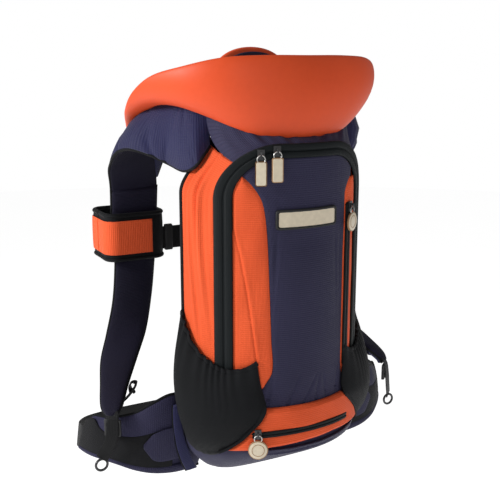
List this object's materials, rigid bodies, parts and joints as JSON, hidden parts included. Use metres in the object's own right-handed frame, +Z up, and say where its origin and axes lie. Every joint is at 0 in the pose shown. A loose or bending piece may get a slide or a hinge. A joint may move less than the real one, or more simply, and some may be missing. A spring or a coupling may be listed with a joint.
{
  "type": "baby carrier backpack",
  "caption": "Backpack with a moulded child saddle on top, ankle cuffs on padded shoulder straps, zipped front flap, stretch side pockets and a padded hip belt.",
  "frame": {"origin": "on the back pads' contact face, on the pack's centre plane, at the hip belt's centre line", "axes": "+Y out of the pads towards the wearer, +Z up, +X to the wearer's right"},
  "size_m": [0.5672, 0.3725, 0.6642],
  "materials": {
    "orange_fabric": "tight ripstop weave, slight sheen",
    "navy_fabric": "fine diagonal weave, padded",
    "black_fabric": "padded knit",
    "pad_mesh": "three-dimensional spacer mesh",
    "stretch_mesh": "stretch knit",
    "zip_tape": "woven tape with covered coil",
    "webbing": "ribbed polyester webbing",
    "saddle_foam": "moulded closed-cell foam, satin skin",
    "frame_plastic": "plain sheet",
    "aluminium": "mill finish",
    "steel": "zinc plated",
    "black_metal": "black enamel",
    "tag_cream": "domed enamel with a tan edge",
    "label_black": "moulded edge",
    "buckle_plastic": "fine grained acetal"
  },
  "bodies": {
    "pack": {"back_pad": "pad_mesh", "bag_body": "orange_fabric", "bag_zip_tape": "zip_tape", "base_panel": "navy_fabric", "belt_buckle_socket": "buckle_plastic", "belt_webbing": "webbing", "bottom_zip": "zip_tape", "bracket_screws": "steel", "chest_buckle_socket": "buckle_plastic", "chest_webbing": "webbing", "frame_sheet": "frame_plastic", "frame_stays": "aluminium", "left_cuff_back": "black_fabric", "left_drop_ring": "black_metal", "left_drop_webbing": "webbing", "left_hip_wing": "navy_fabric", "left_ladder_lock": "buckle_plastic", "left_shoulder_strap": "navy_fabric", "left_side_pocket": "stretch_mesh", "left_wing_panel": "black_fabric", "left_yoke": "navy_fabric", "lower_front_panels": "navy_fabric", "lower_panel": "orange_fabric", "lumbar_pad": "pad_mesh", "pommel": "saddle_foam", "pommel_lining": "black_fabric", "right_cuff_back": "black_fabric", "right_drop_ring": "black_metal", "right_drop_webbing": "webbing", "right_hip_wing": "navy_fabric", "right_ladder_lock": "buckle_plastic", "right_shoulder_strap": "navy_fabric", "right_side_pocket": "stretch_mesh", "right_wing_panel": "black_fabric", "right_yoke": "navy_fabric", "saddle_bracket": "aluminium", "saddle_lining": "black_fabric", "saddle_shell": "saddle_foam", "seat_pad": "black_fabric", "seat_pan": "frame_plastic", "top_collar": "navy_fabric"},
    "main_left_slider": {"main_left_slider": "black_metal"},
    "main_left_pull": {"main_left_pull": "tag_cream"},
    "main_right_slider": {"main_right_slider": "black_metal"},
    "main_right_pull": {"main_right_pull": "tag_cream"},
    "side_slider": {"side_slider": "black_metal"},
    "side_pull": {"side_pull": "tag_cream"},
    "bottom_slider": {"bottom_slider": "black_metal"},
    "bottom_pull": {"bottom_pull": "tag_cream"},
    "left_cuff_gate": {"left_cuff_gate": "orange_fabric"},
    "right_cuff_gate": {"right_cuff_gate": "orange_fabric"},
    "chest_plug": {"chest_buckle_plug": "buckle_plastic"},
    "belt_plug": {"belt_buckle_plug": "buckle_plastic"},
    "flap": {"flap_centre_panel": "navy_fabric", "left_flap_side_panel": "orange_fabric", "right_flap_side_panel": "orange_fabric", "flap_zip_tape": "zip_tape", "side_zip": "zip_tape", "label_border": "label_black", "label_plate": "tag_cream"}
  },
  "joints": [
    {"name": "flap_fold", "type": "hinge", "parent": "pack", "child": "flap", "pos_m": [0, -0.1415, 0.1495], "axis": [1, 0, 0], "range_deg": [0, 100]},
    {"name": "main_left_slider_run", "type": "hinge", "parent": "flap", "child": "main_left_slider", "pos_m": [-0.03234, -0.11134, 0.37054], "axis": [-0.2958, -0.8932, -0.3387], "range_deg": [0, 22]},
    {"name": "main_left_pull_swing", "type": "hinge", "parent": "main_left_slider", "child": "main_left_pull", "pos_m": [-0.07144, -0.13215, 0.44524], "axis": [-0.905, 0.4253, 0], "range_deg": [0, 140]},
    {"name": "main_right_slider_run", "type": "hinge", "parent": "flap", "child": "main_right_slider", "pos_m": [0, 0.01988, 0.45], "axis": [0, 0, 1], "range_deg": [0, 34]},
    {"name": "main_right_pull_swing", "type": "hinge", "parent": "main_right_slider", "child": "main_right_pull", "pos_m": [-0.05043, -0.14035, 0.45], "axis": [-0.9539, 0.3002, 0], "range_deg": [0, 140]},
    {"name": "side_slider_run", "type": "slide", "parent": "flap", "child": "side_slider", "axis": [0, 0, -1], "range_m": [0, 0.172]},
    {"name": "side_pull_swing", "type": "hinge", "parent": "side_slider", "child": "side_pull", "pos_m": [0.08564, -0.12347, 0.362], "axis": [-0.8585, -0.5129, 0], "range_deg": [0, 140]},
    {"name": "bottom_slider_run", "type": "hinge", "parent": "pack", "child": "bottom_slider", "pos_m": [0, 0.01988, 0.041], "axis": [0, 0, 1], "range_deg": [0, 52]},
    {"name": "bottom_pull_swing", "type": "hinge", "parent": "bottom_slider", "child": "bottom_pull", "pos_m": [-0.07722, -0.13592, 0.041], "axis": [-0.896, 0.4441, 0], "range_deg": [0, 140]},
    {"name": "left_cuff_open", "type": "hinge", "parent": "pack", "child": "left_cuff_gate", "pos_m": [-0.202, 0.1802, 0.292], "axis": [0, 0, 1], "range_deg": [0, 110]},
    {"name": "right_cuff_open", "type": "hinge", "parent": "pack", "child": "right_cuff_gate", "pos_m": [0.202, 0.1802, 0.292], "axis": [0, 0, -1], "range_deg": [0, 110]},
    {"name": "chest_plug_out", "type": "slide", "parent": "pack", "child": "chest_plug", "axis": [1, 0, 0], "range_m": [0, 0.03]},
    {"name": "belt_plug_out", "type": "slide", "parent": "pack", "child": "belt_plug", "axis": [1, 0, 0], "range_m": [0, 0.03]}
  ]
}
